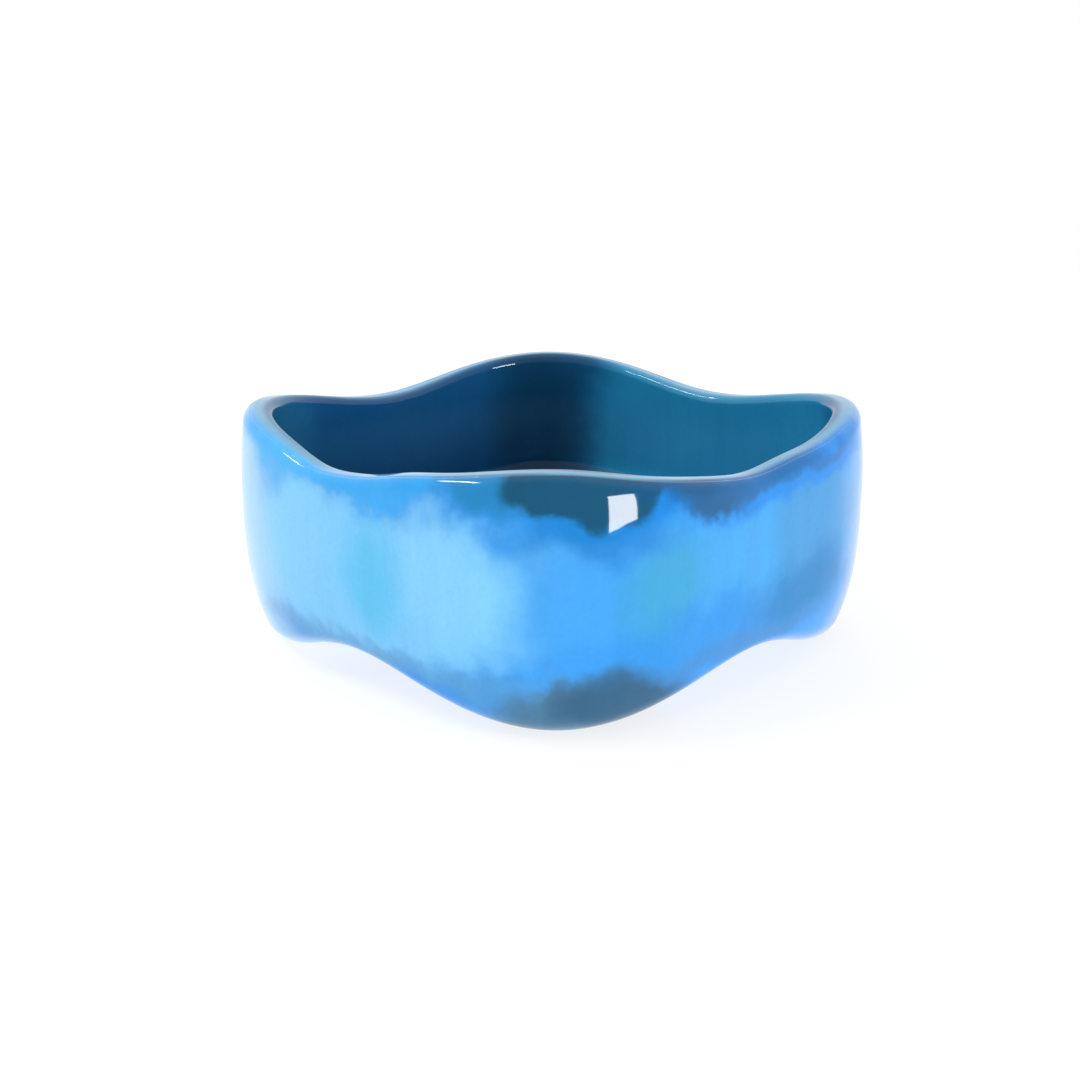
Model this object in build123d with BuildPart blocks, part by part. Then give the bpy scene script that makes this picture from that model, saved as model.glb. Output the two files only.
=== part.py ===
from build123d import *
import os
from math import cos, radians, sin

# A hand-worked cased glass bowl, in millimetres. +Z is up, the four corners lie on the X and Y axes, and
# the origin is on the table under the middle of the bowl.

# Outer form
side_width = 132.4            # across opposite sides, where the bowl is widest
corner_reach = 8.8            # how much further the corners stand out, on each side of the middle
dip_height = 50.8             # top of the rim at the middle of a side
corner_rise = 6.6             # how much higher the rim is at a corner
shoulder_height = 38.0        # height of the widest place
foot_pull_in = 6.9            # how far the wall leans in from the shoulder down to the table
rim_pull_in = 1.6             # how far the wall leans in from the shoulder up to the rim

# Foot edge
arch_height = 10.2            # under the middle of a side
foot_grind = 0.5              # glass ground off each foot to make its flat
foot_edge_radius = 5.0        # rounding of the outer foot edge

# Glass thicknesses
wall_thickness = 7.2
floor_thickness = 8.0         # at the middle of the bowl
casing_thickness = 1.5        # clear outer gather
cloud_thickness = 1.2         # colour bits pressed into the lining

# Roundings of the fire-polished rim and of the hollow
rim_edge_radius = 2.6
hollow_corner_radius = 14.0

# Levels of the layers on the wall
casing_foot_gap = 5.4         # from the foot edge up to where the clear casing stops
turquoise_gap = 1.5           # from the casing's end up to a turquoise patch
turquoise_height = 8.0
cloud_gap = 2.0               # from a turquoise patch up to the cloud over it
cloud_rim_gap = 8.8           # from a cloud up to the rim

# Places of the colour bits along a side
cloud_length = 62.0
turquoise_length = 26.0
turquoise_shift = 16.0        # from the middle of the side towards the left or right corner

# A colour bit's outline, in shares of its half length and half height
bit_outline = [
    (-1.0, -0.1), (-0.7, 0.6), (-0.25, 1.0), (0.2, 0.65), (0.6, 0.95),
    (1.0, 0.3), (0.85, -0.45), (0.35, -0.75), (-0.15, -1.0), (-0.6, -0.7),
]

# Fineness of the drawn curves, and room for cuts
section_points = 16           # points round a wall section or a wavy edge
underside_points = 11         # points across the underside, each way
overshoot = 12.0              # how far cutters run past what they cut

lobe = corner_reach / 2
mean_radius = side_width / 2 + lobe
corner_height = dip_height + corner_rise
foot_radius = mean_radius + lobe - foot_pull_in - foot_edge_radius
arch_radius = mean_radius - lobe - foot_pull_in - foot_edge_radius
underside_height = arch_height / (1 + (arch_radius / foot_radius) ** 4)
hollow_bottom = underside_height + floor_thickness
turquoise_bottom = arch_height + casing_foot_gap + turquoise_gap
cloud_bottom = turquoise_bottom + turquoise_height + cloud_gap
cloud_top = dip_height - cloud_rim_gap


def wall_lean(height):
    """Distance that the wall leans in at a height, from its widest place."""
    below = max(0.0, (shoulder_height - height) / shoulder_height)
    above = max(0.0, (height - shoulder_height) / (corner_height - shoulder_height))
    return foot_pull_in * below**3.2 + rim_pull_in * above**2


def section_outline(height, inset):
    """Points of the rounded-square wall section at a height, moved in by inset."""
    radius = mean_radius - wall_lean(height) - inset
    points = []
    for step in range(section_points):
        angle = radians(360 * step / section_points)
        reach = radius + lobe * cos(4 * angle)
        points.append((reach * cos(angle), reach * sin(angle)))
    return points


def wall_form(inset, lowest):
    """Closed solid inside the wall surface moved in by inset, from lowest to above the rim."""
    levels = [lowest + (shoulder_height - lowest) * share for share in (0, 0.3, 0.65, 1)]
    levels += [corner_height, corner_height + overshoot]
    with BuildPart() as form:
        for level in levels:
            with BuildSketch(Plane.XY.offset(level)):
                with BuildLine():
                    Spline(section_outline(min(level, corner_height), inset), periodic=True)
                make_face()
        loft()
    return form.part


def underside_face():
    """Wavy underside: low under the corners, high under the sides."""
    half = side_width / 2 + corner_reach + overshoot
    rows = []
    for row in range(underside_points):
        y = half * (2 * row / (underside_points - 1) - 1)
        line = []
        for column in range(underside_points):
            x = half * (2 * column / (underside_points - 1) - 1)
            wave = (x**4 - 6 * x**2 * y**2 + y**4) / foot_radius**4
            line.append(Vector(x, y, underside_height * (1 - wave) - foot_grind))
        rows.append(line)
    return Face.make_surface_from_array_of_points(rows, tol=0.01, min_deg=4, max_deg=6)


def wavy_ring(corner_level, side_level):
    """Surface that is level across the wall, at one height on the corners and another on the sides."""
    middle = (corner_level + side_level) / 2
    swing = (corner_level - side_level) / 2
    rings = []
    for reach in (mean_radius / 2, 2 * mean_radius):
        points = []
        for step in range(section_points):
            angle = radians(360 * step / section_points)
            level = middle + swing * cos(4 * angle)
            points.append(Vector(reach * cos(angle), reach * sin(angle), level))
        rings.append(Edge.make_spline(points, periodic=True))
    return Face.make_surface_from_curves(rings[0], rings[1])


def outer_form():
    """Solid form of the whole bowl with its arched, rounded and ground foot, not yet hollow."""
    with BuildPart() as form:
        add(wall_form(0, -overshoot / 2))
        extrude(underside_face(), amount=3 * overshoot, dir=(0, 0, -1), mode=Mode.SUBTRACT)
        foot_edges = form.faces().sort_by(Axis.Z)[0].edges()
        fillet(foot_edges, foot_edge_radius)
        with BuildSketch():
            Circle(2 * mean_radius)
        extrude(amount=-overshoot, mode=Mode.SUBTRACT)
    return form.part


def hollow_form():
    """The bowl's hollow, from its rounded bottom to above the rim."""
    with BuildPart() as form:
        add(wall_form(wall_thickness, hollow_bottom))
        bottom_edges = form.faces().sort_by(Axis.Z)[0].edges()
        fillet(bottom_edges, hollow_corner_radius)
    return form.part


def pocket_space(azimuth, along, bottom, top, length, flip):
    """Space cut for a colour bit on the side at an azimuth, from the pocket's bed outwards."""
    outward = Vector(cos(radians(azimuth)), sin(radians(azimuth)), 0)
    sideways = Vector(-outward.Y, outward.X, 0)
    start = outward * (mean_radius / 2) + sideways * along + Vector(0, 0, (bottom + top) / 2)
    points = [(flip * x * length / 2, z * (top - bottom) / 2) for x, z in bit_outline]
    with BuildPart() as space:
        with BuildSketch(Plane(origin=start, x_dir=sideways, z_dir=outward)):
            with BuildLine():
                Spline(points, periodic=True)
            make_face()
        extrude(amount=mean_radius)
        add(cloud_bed, mode=Mode.SUBTRACT)
    return space.part


def colour_bit(label, space):
    """One piece of coloured glass, pressed flush into the outside of the lining."""
    with BuildPart() as bit:
        add(space)
        add(casing_bed, mode=Mode.INTERSECT)
    bit.part.label = label
    export_step(bit.part, f"parts/{label}.step")
    return bit.part


os.makedirs("parts", exist_ok=True)

# Surfaces that the clear casing and the colour bits lie on
casing_bed = wall_form(casing_thickness, -overshoot / 2)
cloud_bed = wall_form(casing_thickness + cloud_thickness, -overshoot / 2)

# The whole wall and floor, before it is parted into its layers of glass
with BuildPart() as vessel:
    add(outer_form())
    add(hollow_form(), mode=Mode.SUBTRACT)
    rim_face = wavy_ring(corner_height, dip_height)
    extrude(rim_face, amount=2 * overshoot, dir=(0, 0, 1), mode=Mode.SUBTRACT)
    rim_edges = vessel.faces().sort_by(Axis.Z)[-1].edges().sort_by(SortBy.LENGTH)
    fillet(rim_edges[-2:], rim_edge_radius)

# The space outside the lining's wall and above the line where the clear casing stops
with BuildPart() as casing_space:
    with BuildSketch():
        Circle(1.8 * mean_radius)
    extrude(amount=corner_height + overshoot)
    add(casing_bed, mode=Mode.SUBTRACT)
    stop_face = wavy_ring(casing_foot_gap, arch_height + casing_foot_gap)
    extrude(stop_face, amount=3 * overshoot, dir=(0, 0, -1), mode=Mode.SUBTRACT)

with BuildPart() as clear_casing:
    add(vessel.part)
    add(casing_space.part, mode=Mode.INTERSECT)
clear_casing.part.label = "clear_casing"
export_step(clear_casing.part, "parts/clear_casing.step")

# Clouds of sky-blue opal glass, one to a side, and turquoise patches below the two front ones
pockets = []
colour_bits = []
sides = {"front_left": -135, "front_right": -45, "back_left": 135, "back_right": 45}
for place, azimuth in sides.items():
    flip = 1 if place.endswith("left") else -1
    pockets.append(pocket_space(azimuth, 0, cloud_bottom, cloud_top, cloud_length, flip))
    colour_bits.append(colour_bit(f"cloud_{place}", pockets[-1]))
for place, azimuth, flip in (("left", -135, 1), ("right", -45, -1)):
    along = -flip * turquoise_shift
    turquoise_top = turquoise_bottom + turquoise_height
    pockets.append(pocket_space(azimuth, along, turquoise_bottom, turquoise_top, turquoise_length, flip))
    colour_bits.append(colour_bit(f"turquoise_{place}", pockets[-1]))

with BuildPart() as petrol_lining:
    add(vessel.part)
    add(casing_space.part, mode=Mode.SUBTRACT)
    for pocket in pockets:
        add(pocket, mode=Mode.SUBTRACT)
petrol_lining.part.label = "petrol_lining"
export_step(petrol_lining.part, "parts/petrol_lining.step")

for piece in [clear_casing.part, petrol_lining.part] + colour_bits:
    print(piece.label, round(piece.volume), "cubic mm, valid:", piece.is_valid)
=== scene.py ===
import math
import bpy
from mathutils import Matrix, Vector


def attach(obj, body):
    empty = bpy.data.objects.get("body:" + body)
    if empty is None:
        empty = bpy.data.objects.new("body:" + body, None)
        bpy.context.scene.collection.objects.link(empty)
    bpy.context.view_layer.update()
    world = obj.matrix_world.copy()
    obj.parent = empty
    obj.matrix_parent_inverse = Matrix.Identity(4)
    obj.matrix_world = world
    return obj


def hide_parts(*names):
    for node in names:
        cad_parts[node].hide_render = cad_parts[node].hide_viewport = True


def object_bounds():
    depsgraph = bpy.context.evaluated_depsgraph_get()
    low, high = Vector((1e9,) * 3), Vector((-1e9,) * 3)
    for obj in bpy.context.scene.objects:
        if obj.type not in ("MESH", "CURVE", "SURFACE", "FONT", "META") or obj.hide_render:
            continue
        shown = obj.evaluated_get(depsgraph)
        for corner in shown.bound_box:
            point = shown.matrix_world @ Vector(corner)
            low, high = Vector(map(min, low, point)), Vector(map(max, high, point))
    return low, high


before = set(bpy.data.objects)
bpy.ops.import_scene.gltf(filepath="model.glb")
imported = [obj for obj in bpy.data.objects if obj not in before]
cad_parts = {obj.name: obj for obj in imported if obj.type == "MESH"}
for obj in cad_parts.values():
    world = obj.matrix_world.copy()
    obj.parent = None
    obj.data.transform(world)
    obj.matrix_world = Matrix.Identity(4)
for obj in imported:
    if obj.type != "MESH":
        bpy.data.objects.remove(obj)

cadBox = [list(corner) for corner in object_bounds()]
boxLow, boxHigh = cadBox
mm = 0.001


def hexColour(code):  # sRGB hex to linear RGBA
    channels = [int(code[i:i + 2], 16) / 255 for i in (1, 3, 5)]
    return [c / 12.92 if c <= 0.04045 else ((c + 0.055) / 1.055) ** 2.4 for c in channels] + [1.0]


def addNode(tree, kind, settings=None, links=None):  # one node, its settings, and what feeds its inputs
    node = tree.nodes.new(kind)
    for name, value in (settings or {}).items():
        setattr(node, name, value)
    for name, value in (links or {}).items():
        socket = node.inputs[name]
        if isinstance(value, bpy.types.NodeSocket):
            tree.links.new(value, socket)
        else:
            socket.default_value = value
    return node


def calc(tree, operation, *values):  # one step on numbers
    return addNode(tree, "ShaderNodeMath", {"operation": operation}, dict(enumerate(values))).outputs[0]


def aim(tree, operation, *values):  # one step on vectors
    node = addNode(tree, "ShaderNodeVectorMath", {"operation": operation}, dict(enumerate(values)))
    return node.outputs[0]


def size(tree, vector):  # length of a vector
    return addNode(tree, "ShaderNodeVectorMath", {"operation": "LENGTH"}, {0: vector}).outputs["Value"]


def parts(tree, vector):  # x, y and z of a vector
    return addNode(tree, "ShaderNodeSeparateXYZ", None, {0: vector}).outputs


def span(tree, value, start, stop, first=0.0, last=1.0, kind="SMOOTHSTEP"):  # from one range to another
    return addNode(tree, "ShaderNodeMapRange", {"interpolation_type": kind},
                   {0: value, 1: start, 2: stop, 3: first, 4: last}).outputs[0]


def noise(tree, spot, grain, detail, roughness=0.5):  # grain in mm
    return addNode(tree, "ShaderNodeTexNoise", None, {
        "Vector": spot, "Scale": 1 / (grain * mm), "Detail": detail, "Roughness": roughness}).outputs


def overlay(tree, cover, under, over):  # one colour over another
    return addNode(tree, "ShaderNodeMix", {"data_type": "RGBA"}, {0: cover, 6: under, 7: over}).outputs[2]


def emptied(tree):
    tree.nodes.clear()
    return tree


def newMaterial(name):
    material = bpy.data.materials.new(name)
    material.use_nodes = True
    return material, emptied(material.node_tree)


def place(name, data):  # an object at the origin, in the scene
    thing = bpy.data.objects.new(name, data)
    bpy.context.scene.collection.objects.link(thing)
    return thing


# the turned blank: what the bowl is before its corners are pulled
bowl = {
    "sideWidth": 132.4,       # across opposite sides, mm
    "dipHeight": 50.8,        # rim at the middle of a side
    "shoulderHeight": 38.0,   # widest place
    "footPullIn": 6.9,        # lean of the wall down to the table
    "rimPullIn": 1.6,         # lean of the wall up to the rim
    "archHeight": 10.2,       # under the middle of a side
    "footGrind": 0.5,         # glass ground off the feet
    "footEdge": 5.0,          # roundings
    "rimEdge": 2.6,
    "hollowCorner": 14.0,
    "wall": 7.2,
    "floor": 8.0,
    "casing": 1.5,
    "around": 320,            # mesh columns round the bowl
    "stretch": 1.5,           # mesh steps along a straight part of the profile
}
pull = {
    "corners": 4.0,
    "calm": 0.6,              # share of the radius inside which the pull dies away
    "footReach": 0.62,        # share of the height that the arches lift
    "archPower": 4.0,         # how fast the arches rise towards the edge
    "footPower": 3.2,         # how late the wall turns in towards the foot, and towards the rim
    "rimPower": 2.0,
}
rimMarks = [  # unevenness of a rim shaped by hand: degrees, half width in degrees, rise in mm
    (-145, 9, -1.1), (-119, 9, 0.9), (-76, 12, -0.9), (-36, 9, 0.9),
]
leanMark = (-82, 15, 1.0)     # where the rim leans in more: degrees, half width, by what share
cornerWidth = (boxHigh[0] - boxLow[0]) / mm
cornerHeight = boxHigh[2] / mm
meanRadius = (cornerWidth + bowl["sideWidth"]) / 4
cornerSwing = (cornerWidth - bowl["sideWidth"]) / 4
rimMiddle = (cornerHeight + bowl["dipHeight"]) / 2
rimSwing = (cornerHeight - bowl["dipHeight"]) / 2
hollowBottom = bowl["archHeight"] / 2 + bowl["floor"]


def arc(centreR, centreZ, radius, start, end, steps):  # part of a profile, angles in degrees
    points = []
    for i in range(steps + 1):
        a = math.radians(start + (end - start) * i / steps)
        points.append((centreR + radius * math.cos(a), centreZ + radius * math.sin(a)))
    return points


def run(start, end, steps):  # straight part of a profile, without its ends
    return [(start[0] + (end[0] - start[0]) * i / steps, start[1] + (end[1] - start[1]) * i / steps)
            for i in range(1, steps)]


def joined(*stretches):  # stretches of a profile, joined by straight runs
    points = list(stretches[0])
    for stretch in stretches[1:]:
        gap = math.dist(points[-1], stretch[0])
        points += run(points[-1], stretch[0], max(1, round(gap / bowl["stretch"])))
        points += stretch
    return points


def turnedBlank(name, profile):  # revolves a profile whose first and last points are on the axis
    count = bowl["around"]
    rings = profile[1:-1]
    verts = [(0, 0, profile[0][1] * mm)]
    for r, z in rings:
        for i in range(count):
            a = 2 * math.pi * i / count
            verts.append((r * math.cos(a) * mm, r * math.sin(a) * mm, z * mm))
    verts.append((0, 0, profile[-1][1] * mm))
    last = len(verts) - 1
    faces = []
    for i in range(count):
        j = (i + 1) % count
        faces.append((0, 1 + j, 1 + i))
        for k in range(len(rings) - 1):
            lower, upper = 1 + k * count, 1 + (k + 1) * count
            faces.append((lower + i, lower + j, upper + j, upper + i))
        top = 1 + (len(rings) - 1) * count
        faces.append((top + i, top + j, last))
    mesh = bpy.data.meshes.new(name)
    mesh.from_pydata(verts, [], faces)
    mesh.polygons.foreach_set("use_smooth", [True] * len(faces))
    mesh.update()
    return place(name, mesh)


casing, edge, rimEdge = bowl["casing"], bowl["footEdge"], bowl["rimEdge"]
casingAngle = math.degrees(math.acos((rimEdge - casing) / rimEdge))
innerRadius = meanRadius - bowl["wall"]
corner = bowl["hollowCorner"]

casingProfile = joined(
    [(0, 0)],
    arc(meanRadius - edge, edge, edge, -90, 0, 14),
    arc(meanRadius - rimEdge, rimMiddle - rimEdge, rimEdge, 0, casingAngle, 8),
    arc(meanRadius - edge, edge, edge - casing, 0, -90, 8),
    [(0, casing)],
)
liningProfile = joined(
    [(0, casing)],
    arc(meanRadius - edge, edge, edge - casing, -90, 0, 8),
    arc(meanRadius - rimEdge, rimMiddle - rimEdge, rimEdge, casingAngle, 90, 8),
    arc(innerRadius + rimEdge, rimMiddle - rimEdge, rimEdge, 90, 180, 14),
    arc(innerRadius - corner, hollowBottom + corner, corner, 0, -90, 24),
    [(0, hollowBottom)],
)


# the reshaping: four pulled corners, a wavy rim and an arched foot
def swell(tree, angle, centre, halfWidth):  # 1 at an angle round the bowl, dying away on both sides of it
    turn = calc(tree, "WRAP", calc(tree, "SUBTRACT", angle, math.radians(centre)), math.pi, -math.pi)
    away = calc(tree, "POWER", calc(tree, "DIVIDE", turn, math.radians(halfWidth)), 2.0)
    return calc(tree, "EXPONENT", calc(tree, "MULTIPLY", away, -1.0))


def wallLean(tree, share, amount, power):  # share: 0 at the shoulder, 1 at the foot or the rim
    return calc(tree, "MULTIPLY", amount, calc(tree, "POWER", calc(tree, "MAXIMUM", share, 0.0), power))


def reshapeTree():
    tree = bpy.data.node_groups.new("pullCorners", "GeometryNodeTree")
    tree.interface.new_socket("Geometry", in_out="INPUT", socket_type="NodeSocketGeometry")
    sizes = {
        "Mean Radius": meanRadius, "Corner Swing": cornerSwing, "Corner Height": cornerHeight,
        "Rim Height": rimMiddle, "Rim Swing": rimSwing, "Rim Pull In": bowl["rimPullIn"],
        "Arch Height": bowl["archHeight"], "Foot Grind": bowl["footGrind"],
        "Foot Radius": meanRadius - bowl["footEdge"], "Foot Pull In": bowl["footPullIn"],
        "Shoulder Height": bowl["shoulderHeight"],
    }
    for name, length in sizes.items():
        socket = tree.interface.new_socket(name, in_out="INPUT", socket_type="NodeSocketFloat")
        socket.default_value = length * mm
    tree.interface.new_socket("Material", in_out="INPUT", socket_type="NodeSocketMaterial")
    tree.interface.new_socket("Geometry", in_out="OUTPUT", socket_type="NodeSocketGeometry")
    given = addNode(tree, "NodeGroupInput").outputs
    shoulder = given["Shoulder Height"]

    x, y, z = parts(tree, addNode(tree, "GeometryNodeInputPosition").outputs[0])
    square = calc(tree, "ADD", calc(tree, "POWER", x, 2.0), calc(tree, "POWER", y, 2.0))
    radius = calc(tree, "SQRT", square)
    angle = calc(tree, "ARCTAN2", y, x)
    wave = calc(tree, "COSINE", calc(tree, "MULTIPLY", angle, pull["corners"]))
    outness = span(tree, radius, 0.0, calc(tree, "MULTIPLY", given["Mean Radius"], pull["calm"]))

    footShare = calc(tree, "MINIMUM", calc(tree, "DIVIDE", radius, given["Foot Radius"]), 1.0)
    footWave = calc(tree, "MULTIPLY", wave, calc(tree, "POWER", footShare, pull["archPower"]))
    footLift = calc(tree, "MULTIPLY", calc(tree, "MULTIPLY", given["Arch Height"], 0.5),
                    calc(tree, "SUBTRACT", 1.0, footWave))
    footLift = calc(tree, "SUBTRACT", footLift, given["Foot Grind"])
    lowEnd = calc(tree, "MULTIPLY", given["Rim Height"], pull["footReach"])
    lowness = span(tree, z, 0.0, lowEnd, 1.0, 0.0, "LINEAR")
    rimLift = calc(tree, "MULTIPLY", given["Rim Swing"], wave)
    for centre, halfWidth, rise in rimMarks:
        rimLift = calc(tree, "MULTIPLY_ADD", swell(tree, angle, centre, halfWidth), rise * mm, rimLift)
    rimLift = calc(tree, "MULTIPLY", rimLift, outness)
    highness = span(tree, z, 0.0, given["Rim Height"], kind="LINEAR")
    height = calc(tree, "ADD", z, calc(tree, "MULTIPLY", footLift, lowness))
    height = calc(tree, "ADD", height, calc(tree, "MULTIPLY", rimLift, highness))
    height = calc(tree, "MAXIMUM", height, 0.0)

    below = calc(tree, "DIVIDE", calc(tree, "SUBTRACT", shoulder, height), shoulder)
    above = calc(tree, "DIVIDE", calc(tree, "SUBTRACT", height, shoulder),
                 calc(tree, "SUBTRACT", given["Corner Height"], shoulder))
    footLean = wallLean(tree, below, given["Foot Pull In"], pull["footPower"])
    rimLean = wallLean(tree, above, given["Rim Pull In"], pull["rimPower"])
    centre, halfWidth, more = leanMark
    stronger = calc(tree, "MULTIPLY_ADD", swell(tree, angle, centre, halfWidth), more, 1.0)
    lean = calc(tree, "ADD", footLean, calc(tree, "MULTIPLY", rimLean, stronger))
    move = calc(tree, "SUBTRACT", calc(tree, "MULTIPLY", given["Corner Swing"], wave), lean)
    reach = calc(tree, "ADD", radius, calc(tree, "MULTIPLY", move, outness))

    moved = addNode(tree, "ShaderNodeCombineXYZ", None, {
        0: calc(tree, "MULTIPLY", reach, calc(tree, "COSINE", angle)),
        1: calc(tree, "MULTIPLY", reach, calc(tree, "SINE", angle)), 2: height}).outputs[0]
    shape = addNode(tree, "GeometryNodeSetPosition", None,
                    {"Geometry": given["Geometry"], "Position": moved}).outputs[0]
    shape = addNode(tree, "GeometryNodeRealizeInstances", None, {"Geometry": shape}).outputs[0]
    shape = addNode(tree, "GeometryNodeSetMaterial", None,
                    {"Geometry": shape, "Material": given["Material"]}).outputs[0]
    addNode(tree, "NodeGroupOutput", None, {"Geometry": shape})
    return tree


def reshaped(blank, tree, material):  # runs the tree once and keeps the result as a plain mesh
    modifier = blank.modifiers.new("reshape", "NODES")
    modifier.node_group = tree
    for item in tree.interface.items_tree:
        if item.in_out == "INPUT" and item.name == "Material":
            modifier[item.identifier] = material
    shape = blank.evaluated_get(bpy.context.evaluated_depsgraph_get())
    mesh = bpy.data.meshes.new_from_object(shape)
    blank.modifiers.remove(modifier)
    mesh.name = blank.name
    blank.data = mesh
    return blank


# cased studio glass: colour bits laid in clouds on dark petrol glass and covered with a clear gather, so the
# colour looks soft and deep under a sharp, fire-polished gloss
glass = {
    "gloss": 0.045,           # roughness of fire-polished glass
    "ior": 1.5,
    "shine": 0.36,            # specular level
    "wisp": 19.0,             # size of the big swirls in a cloud's edge, mm
    "fray": 6.5,              # size of its small frayed ends
    "frayShare": 0.35,        # how much of the swirling they make up
    "drift": 3.8,             # how far a fraying of 1 carries an edge, mm
    "grain": 1.1,             # ground colour powder
    "grainTone": 0.14,
    "streak": 5.0,            # width of the drawn-down streaks
    "streakTone": 0.16,
    "drawn": 0.12,            # how much the streaks are squeezed, which lengthens them
    "tone": 0.85,             # darkest tone of grain and streaks together
    "ripple": 18.0,           # slow waves left by the tools
    "rippleHeight": 1.4,
    "rippleStrength": 0.5,
}
outsideClouds = [
    # colour, degrees round from the front corner, then height, half width and half height in mm, softness,
    # strength, fraying
    ("#2F98EC", 0, 28, 900, 60, 0.10, 1.00, 0),      # azure ground
    ("#7ACDFF", -42, 30, 54, 18, 0.26, 1.00, 5),     # sky cloud on the front left
    # painted reflection: the white backdrop's glancing reflection, painted as paler colour towards the left
    # corner
    ("#A8DAFF", -80, 26, 16, 46, 0.70, 1.00, 3),     # pale left corner
    ("#8AD5FF", -20, 33, 13, 11, 0.60, 0.60, 4),     # paler heart of the sky cloud
    ("#88D5FF", -57, 35, 10, 14, 0.70, 0.60, 3),
    ("#58C6F8", -36, 31, 9, 13, 0.60, 0.95, 3),      # turquoise patch in it
    ("#2CACF7", -45, 55, 48, 7.0, 0.25, 0.95, 5),    # azure under the rim, left
    ("#27A6F2", -22, 54, 13, 4.0, 0.50, 0.90, 5),
    ("#4FBDFF", -64, 53, 16, 6.0, 0.60, 0.80, 4),
    ("#359FEE", 2, 30, 11, 14, 0.60, 0.90, 3),
    ("#3CA2E2", 36, 35, 27, 10, 0.55, 0.85, 4),      # sky cloud on the front right
    ("#379FD0", 18, 32, 9.5, 11, 0.50, 0.95, 3),     # turquoise patch in it
    ("#218CDC", 33, 19, 27, 7, 0.60, 0.85, 5),
    ("#3E94D2", 60, 36, 17, 13, 0.35, 0.95, 3),      # slate-azure zone near the right corner
    ("#1A7EBC", 56, 22, 18, 8, 0.50, 0.95, 4),
    # painted reflection: the white backdrop's glancing reflection, painted as paler grey-blue at the right
    # corner
    ("#8DB4DC", 86, 28, 15, 40, 0.80, 0.90, 3),      # pale right corner
    ("#6E97C4", 86, 14, 13, 13, 0.60, 0.70, 3),
    # painted reflection of the white backdrop, paler low on the left corner
    ("#C4E6FF", -85, 15, 10, 14, 0.70, 0.80, 3),
    ("#0F86DE", 44, 51, 46, 7.5, 0.26, 0.95, 5),     # royal azure under the rim, right
    ("#1683D2", 6, 44, 13, 5.5, 0.55, 0.90, 4),        # azure halo below the petrol patch
    ("#2384BE", -12, 54, 10, 6, 0.50, 0.90, 4),
    ("#0E5578", 4, 54, 17.5, 8.6, 0.15, 1.00, 4),    # petrol patch at the front corner
    ("#0D5A8C", 30, 48.5, 12, 3.4, 0.45, 0.95, 5),     # dark wisps running right from it
    ("#0B5484", 22, 53, 14, 3.6, 0.45, 0.90, 5),
    ("#0C63A0", 44, 50, 20, 2.2, 0.60, 0.80, 5),
    ("#0F6AAE", 60, 52, 16, 2.4, 0.60, 0.70, 5),
    ("#469CDC", -9, 11, 15, 4, 0.50, 0.85, 4),      # foot of the front corner
    ("#407494", 5, 3, 21, 9.5, 0.24, 0.95, 4),
    ("#24597C", 12, 6, 15, 8.0, 0.40, 0.90, 4),
    ("#5FA6D8", -45, 12, 34, 3.4, 0.60, 0.65, 4),    # thinner glass above the arches
    ("#3784C4", 40, 13, 30, 3.8, 0.60, 0.80, 4),
    ("#74C6FC", 135, 30, 42, 15, 0.30, 1.00, 5),     # the same round the back
    ("#5FB9FA", -135, 31, 44, 16, 0.30, 1.00, 5),
    ("#4FC0F4", -148, 30, 9, 12, 0.60, 0.90, 3),
    ("#45B0EC", 122, 28, 10, 11, 0.60, 0.85, 3),
    ("#1C97F0", 135, 54, 52, 7.0, 0.26, 0.95, 5),
    ("#1592EC", -135, 55, 50, 7.0, 0.26, 0.95, 5),
    ("#12608A", 178, 54, 16, 8.0, 0.14, 1.00, 5),
    ("#0E649E", 158, 50, 12, 3.0, 0.45, 0.90, 6),
    ("#3A7195", -177, 6, 18, 8.0, 0.26, 0.95, 5),
    ("#3A7195", 88, 4, 15, 6.0, 0.30, 0.80, 5),
    ("#4A8CBC", -90, 3, 15, 5.0, 0.30, 0.60, 5),
]
insideClouds = [
    ("#1B5E90", 0, 28, 900, 60, 0.10, 1.00, 0),      # petrol ground
    ("#2C97C4", 131, 34, 51, 40, 0.20, 1.00, 3),     # teal side, back right
    ("#175384", -136, 34, 46, 40, 0.40, 0.90, 3),    # ink-blue side, back left
    ("#10405E", -178, 34, 14, 34, 0.60, 0.90, 3),     # dark back corner
    ("#2A739A", -97, 40, 13, 22, 0.60, 0.85, 3),     # teal left corner
    ("#0E4264", 0, 30, 24, 30, 0.60, 0.80, 3),       # dark front corner
    ("#12496C", 60, 16, 30, 12, 0.60, 0.60, 3),
]
rim = {
    "colour": "#6FAACC",      # thinned colour on the rounded rim
    "depth": (0.8, 6.0),      # from the outer wall, mm: where the outside colour starts and stops giving way
}


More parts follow.
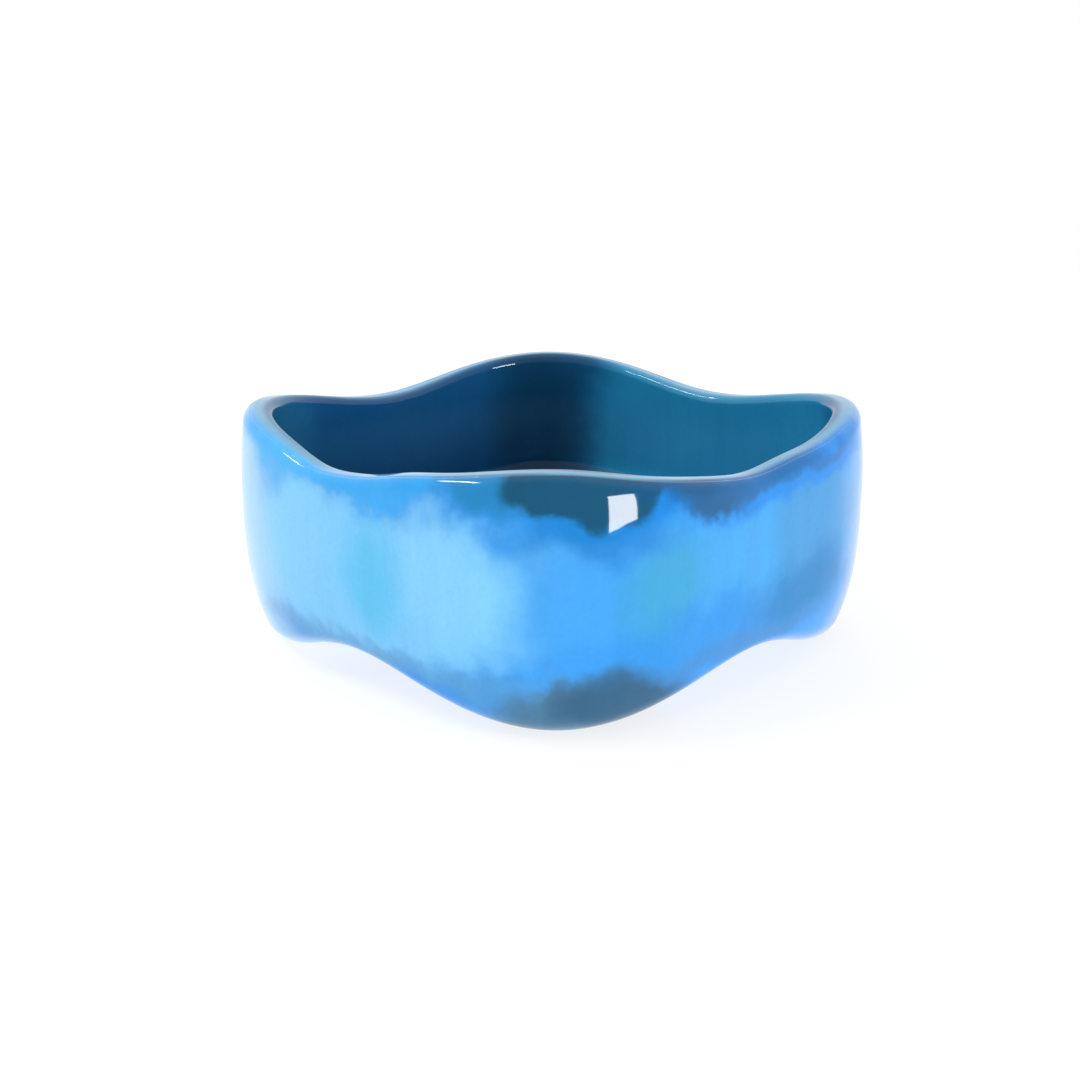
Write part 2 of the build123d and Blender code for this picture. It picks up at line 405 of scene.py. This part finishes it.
def paintClouds(tree, clouds, spot):  # clouds painted over one another, each frayed by the same swirls
    swirl = noise(tree, spot, glass["wisp"], 3.0)["Color"]
    fray = noise(tree, spot, glass["fray"], 5.0, 0.6)["Color"]
    share = glass["frayShare"]
    mixed = aim(tree, "MULTIPLY_ADD", fray, (share,) * 3, swirl)
    centred = aim(tree, "SUBTRACT", mixed, ((1 + share) / 2,) * 3)
    frayedSpots = {}
    colour = None
    for code, angle, height, halfWide, halfHigh, soft, strength, frayed in clouds:
        if frayed not in frayedSpots:
            drift = (frayed * glass["drift"] * mm,) * 3
            x, y, z = parts(tree, aim(tree, "MULTIPLY_ADD", centred, drift, spot))
            around = calc(tree, "ARCTAN2", x, calc(tree, "MULTIPLY", y, -1.0))
            frayedSpots[frayed] = addNode(tree, "ShaderNodeCombineXYZ", None, {0: around, 1: z}).outputs[0]
        offset = aim(tree, "SUBTRACT", frayedSpots[frayed], (math.radians(angle), height * mm, 0))
        wrapped = aim(tree, "WRAP", offset, (math.pi, 1, 1), (-math.pi, -1, -1))
        away = size(tree, aim(tree, "MULTIPLY", wrapped, (meanRadius / halfWide, 1 / (halfHigh * mm), 0)))
        cover = span(tree, away, 1 + soft, 1 - soft, 0.0, strength)
        if colour is None:
            colour = addNode(tree, "ShaderNodeRGB").outputs[0]
            colour.default_value = hexColour(code)
        else:
            colour = overlay(tree, cover, colour, hexColour(code))
    return colour


def paintLining(tree, spot, outside):  # over the rim, the outside colour gives way to the lining's own
    x, y, z = parts(tree, spot)
    radius = size(tree, addNode(tree, "ShaderNodeCombineXYZ", None, {0: x, 1: y}).outputs[0])
    wave = calc(tree, "COSINE", calc(tree, "MULTIPLY", calc(tree, "ARCTAN2", y, x), pull["corners"]))
    outer = calc(tree, "MULTIPLY_ADD", wave, cornerSwing * mm, (meanRadius - bowl["rimPullIn"]) * mm)
    depth = calc(tree, "SUBTRACT", outer, radius)
    start, stop = rim["depth"]
    middle = (start + stop) / 2
    colour = overlay(tree, span(tree, depth, start * mm, middle * mm), outside, hexColour(rim["colour"]))
    lining = paintClouds(tree, insideClouds, spot)
    return overlay(tree, span(tree, depth, middle * mm, stop * mm), colour, lining)


def glassMaterial(name, inside):
    material, tree = newMaterial(name)
    spot = addNode(tree, "ShaderNodeTexCoord").outputs["Object"]
    colour = paintClouds(tree, outsideClouds, spot)
    if inside:
        colour = paintLining(tree, spot, colour)
    drawn = addNode(tree, "ShaderNodeMapping", None, {0: spot, "Scale": (1, 1, glass["drawn"])}).outputs[0]
    streaks = noise(tree, drawn, glass["streak"], 3.0, 0.55)[0]
    powder = noise(tree, spot, glass["grain"], 2.0, 0.6)[0]
    tone = calc(tree, "ADD", calc(tree, "MULTIPLY", streaks, glass["streakTone"]),
                calc(tree, "MULTIPLY", powder, glass["grainTone"]))
    tone = calc(tree, "ADD", tone, glass["tone"])
    ripple = noise(tree, spot, glass["ripple"], 1.0)[0]
    bump = addNode(tree, "ShaderNodeBump", None, {
        "Strength": glass["rippleStrength"], "Distance": glass["rippleHeight"] * mm,
        "Height": ripple}).outputs[0]
    shader = addNode(tree, "ShaderNodeBsdfPrincipled", None, {
        "Base Color": aim(tree, "MULTIPLY", colour, tone), "Roughness": glass["gloss"], "IOR": glass["ior"],
        "Specular IOR Level": glass["shine"], "Normal": bump}).outputs[0]
    addNode(tree, "ShaderNodeOutputMaterial", None, {"Surface": shader})
    return material


tree = reshapeTree()
casingPiece = reshaped(turnedBlank("casing", casingProfile), tree, glassMaterial("casedCloudGlass", False))
liningPiece = reshaped(turnedBlank("lining", liningProfile), tree, glassMaterial("petrolLiningGlass", True))
bpy.data.node_groups.remove(tree)
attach(casingPiece, "root")
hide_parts("clear_casing", "cloud_front_left", "cloud_front_right", "cloud_back_left",
            "cloud_back_right", "turquoise_left", "turquoise_right")
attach(liningPiece, "root")
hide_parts("petrol_lining")
print("bowl", len(casingPiece.data.polygons), len(liningPiece.data.polygons))

stage = {
    "halfWidth": 1.0,         # floor, m
    "fade": (0.25, 0.9),      # where it fades into the white backdrop
    "glow": 0.78,             # light coming up through the white table
    "white": 0.3,             # light that it scatters
}
white = (1, 1, 1, 1)


def studioFloor():  # a white table lit from below, with no visible edge
    half = stage["halfWidth"]
    mesh = bpy.data.meshes.new("floor")
    corners = [(-half, -half, 0), (half, -half, 0), (half, half, 0), (-half, half, 0)]
    mesh.from_pydata(corners, [], [(0, 1, 2, 3)])
    material, tree = newMaterial("opalAcrylic")  # a diffuse sheet that also glows
    start, stop = stage["fade"]
    fade = span(tree, size(tree, addNode(tree, "ShaderNodeTexCoord").outputs["Object"]), start, stop)
    matte = addNode(tree, "ShaderNodeBsdfDiffuse", None, {"Color": (stage["white"],) * 3 + (1,)}).outputs[0]
    glow = addNode(tree, "ShaderNodeEmission", None, {"Color": white, "Strength": stage["glow"]}).outputs[0]
    lit = addNode(tree, "ShaderNodeAddShader", None, {0: matte, 1: glow}).outputs[0]
    clear = addNode(tree, "ShaderNodeBsdfTransparent").outputs[0]
    sheet = addNode(tree, "ShaderNodeMixShader", None, {0: fade, 1: lit, 2: clear}).outputs[0]
    addNode(tree, "ShaderNodeOutputMaterial", None, {"Surface": sheet})
    mesh.materials.append(material)
    place("floor", mesh)


studioFloor()

light = {
    "backdrop": 1.0,          # white behind and beside the bowl
    "front": 0.40,            # dim room behind the camera
    "turnover": (-0.75, 0.1),  # from the room to the backdrop, along Y
    "lamps": [
        # name, degrees round from the camera, elevation, distance, width, height (m), brightness
        ("window", 38, 7, 1.3, 0.34, 0.27, 24.0),
        ("stripLight", -88, 52, 1.2, 0.62, 0.06, 34.0),
    ],
}


def studioWorld():
    world = bpy.data.worlds.new("studio")
    bpy.context.scene.world = world
    world.use_nodes = True
    tree = emptied(world.node_tree)
    direction = parts(tree, addNode(tree, "ShaderNodeTexCoord").outputs["Generated"])
    start, stop = light["turnover"]
    around = span(tree, direction[1], start, stop, light["front"], light["backdrop"])
    seen = addNode(tree, "ShaderNodeLightPath").outputs["Is Camera Ray"]
    strength = addNode(tree, "ShaderNodeMix", None, {0: seen, 2: around, 3: light["backdrop"]}).outputs[0]
    sky = addNode(tree, "ShaderNodeBackground", None, {"Color": white, "Strength": strength}).outputs[0]
    addNode(tree, "ShaderNodeOutputWorld", None, {"Surface": sky})


def orbit(azimuth, elevation, distance):  # a place seen from the origin, angles in radians
    level = distance * math.cos(elevation)
    return level * math.sin(azimuth), -level * math.cos(azimuth), distance * math.sin(elevation)


def studioLamp(name, azimuth, elevation, distance, width, height, brightness):
    lamp = bpy.data.lights.new(name, "AREA")
    lamp.shape = "RECTANGLE"
    lamp.size, lamp.size_y = width, height
    lamp.energy = brightness * math.pi * width * height  # radiance to watts
    stand = place(name, lamp)
    azimuth, elevation = math.radians(azimuth), math.radians(elevation)
    stand.location = orbit(azimuth, elevation, distance)
    stand.rotation_euler = (math.pi / 2 - elevation, 0, azimuth)


studioWorld()
for lamp in light["lamps"]:
    studioLamp(*lamp)
print("studio ready")

view = {
    "distance": 5.41,         # mean radii from the aim point
    "elevation": 15.99,       # degrees
    "turn": -0.9,
    "aimHeight": 0.37,        # mean radii above the table
    "lens": 51.7,
    "shiftX": -0.0115,
    "shiftY": -0.0131,
    "nearest": 0.01,          # closest thing drawn, m
}


def studioCamera():
    camera = bpy.data.cameras.new("camera")
    camera.lens = view["lens"]
    camera.shift_x, camera.shift_y = view["shiftX"], view["shiftY"]
    camera.clip_start = view["nearest"]
    stand = place("camera", camera)
    elevation, turn = math.radians(view["elevation"]), math.radians(view["turn"])
    x, y, z = orbit(turn, elevation, view["distance"] * meanRadius * mm)
    stand.location = (x, y, z + view["aimHeight"] * meanRadius * mm)
    stand.rotation_euler = (math.pi / 2 - elevation, 0, turn)
    bpy.context.scene.camera = stand


studioCamera()
bpy.context.scene.view_settings.view_transform = "Standard"
